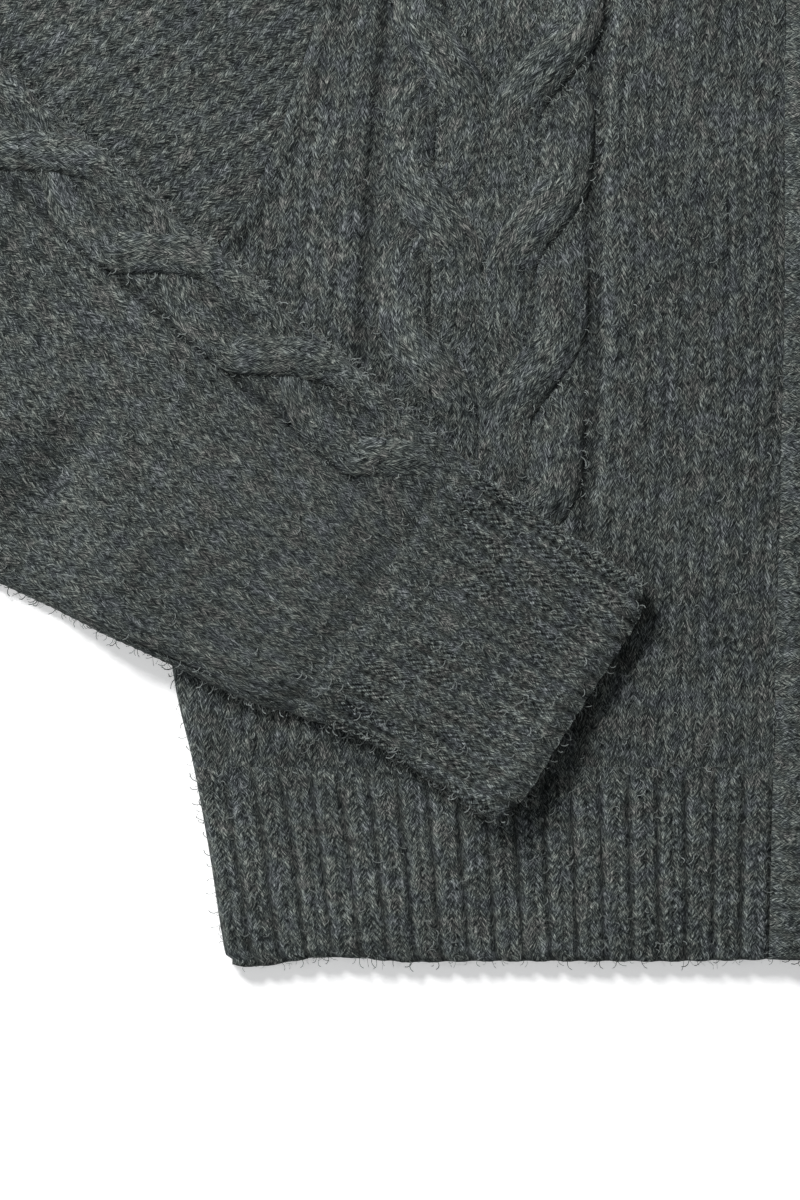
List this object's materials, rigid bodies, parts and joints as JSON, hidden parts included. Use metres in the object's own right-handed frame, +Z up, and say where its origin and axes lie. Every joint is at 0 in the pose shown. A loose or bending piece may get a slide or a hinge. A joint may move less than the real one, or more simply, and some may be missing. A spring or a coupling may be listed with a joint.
{
  "type": "cable knit cardigan, laid flat",
  "caption": "Dark grey cable knit wool cardigan laid flat and buttoned, with ribbed hem, cuffs and bands and both sleeves folded over the front.",
  "frame": {"origin": "on the surface the garment lies on, under the centre of its bounding box", "axes": "+Z up out of the surface, +Y from the hem to the neck, +X towards the wearer's left"},
  "size_m": [0.7462, 0.565, 0.0161],
  "materials": {
    "heather_wool": "heathered wool knit, softly brushed, matt",
    "horn_buttons": "dark horn-like resin, satin"
  },
  "bodies": {
    "root": {"back": "heather_wool", "front_right": "heather_wool", "front_left": "heather_wool", "hem_rib_back": "heather_wool", "hem_rib_right": "heather_wool", "hem_rib_left": "heather_wool", "band_right": "heather_wool", "band_left": "heather_wool", "neckband": "heather_wool", "sleeve_right": "heather_wool", "sleeve_left": "heather_wool", "cuff_right": "heather_wool", "cuff_left": "heather_wool", "button_1": "horn_buttons", "button_2": "horn_buttons", "button_3": "horn_buttons", "button_4": "horn_buttons", "button_5": "horn_buttons", "button_6": "horn_buttons"}
  },
  "joints": []
}
